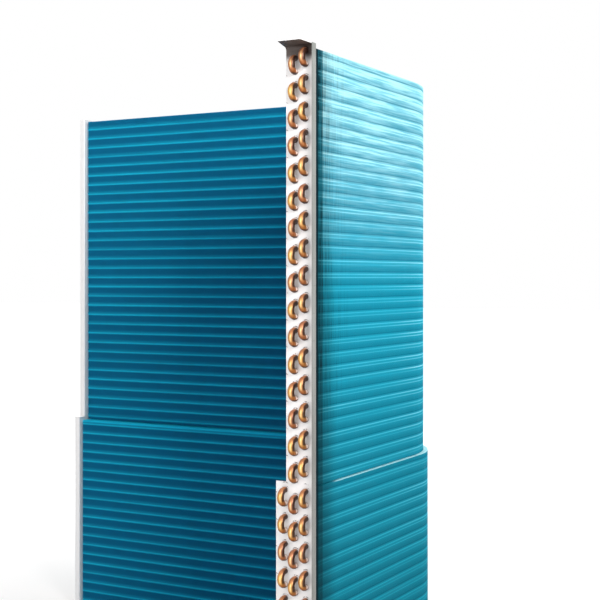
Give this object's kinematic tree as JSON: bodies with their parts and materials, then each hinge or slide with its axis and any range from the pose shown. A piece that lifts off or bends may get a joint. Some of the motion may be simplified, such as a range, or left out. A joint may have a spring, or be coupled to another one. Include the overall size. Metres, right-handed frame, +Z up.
{
  "type": "condenser coil",
  "caption": "L-shaped finned tube condenser coil with blue coated fins, hairpin return bends and folded steel tube sheets at both ends.",
  "frame": {"origin": "on the resting plane, under the middle of the coil's bounding box", "axes": "+Z up along the tube sheets; +X along the long leg towards the bend and the short leg; +Y from the near tube sheet towards the long leg"},
  "size_m": [1.122, 0.78, 1.3378],
  "materials": {
    "coated_fins": "blue hydrophilic coating on thin aluminium fins, satin",
    "tube_metal": "drawn copper, slightly tarnished",
    "sheet_metal": "galvanised sheet steel, bright"
  },
  "bodies": {
    "root": {"upper_outer_fins": "coated_fins", "upper_outer_return_bends": "tube_metal", "upper_outer_far_bends": "tube_metal", "upper_outer_open_ends": "tube_metal", "upper_inner_fins": "coated_fins", "upper_inner_return_bends": "tube_metal", "upper_inner_far_bends": "tube_metal", "upper_inner_open_ends": "tube_metal", "lower_outer_fins": "coated_fins", "lower_outer_return_bends": "tube_metal", "lower_outer_far_bends": "tube_metal", "lower_outer_open_ends": "tube_metal", "lower_middle_fins": "coated_fins", "lower_middle_return_bends": "tube_metal", "lower_middle_far_bends": "tube_metal", "lower_middle_open_ends": "tube_metal", "lower_inner_fins": "coated_fins", "lower_inner_return_bends": "tube_metal", "lower_inner_far_bends": "tube_metal", "lower_inner_open_ends": "tube_metal", "near_tube_sheet": "sheet_metal", "far_tube_sheet": "sheet_metal"}
  },
  "joints": []
}
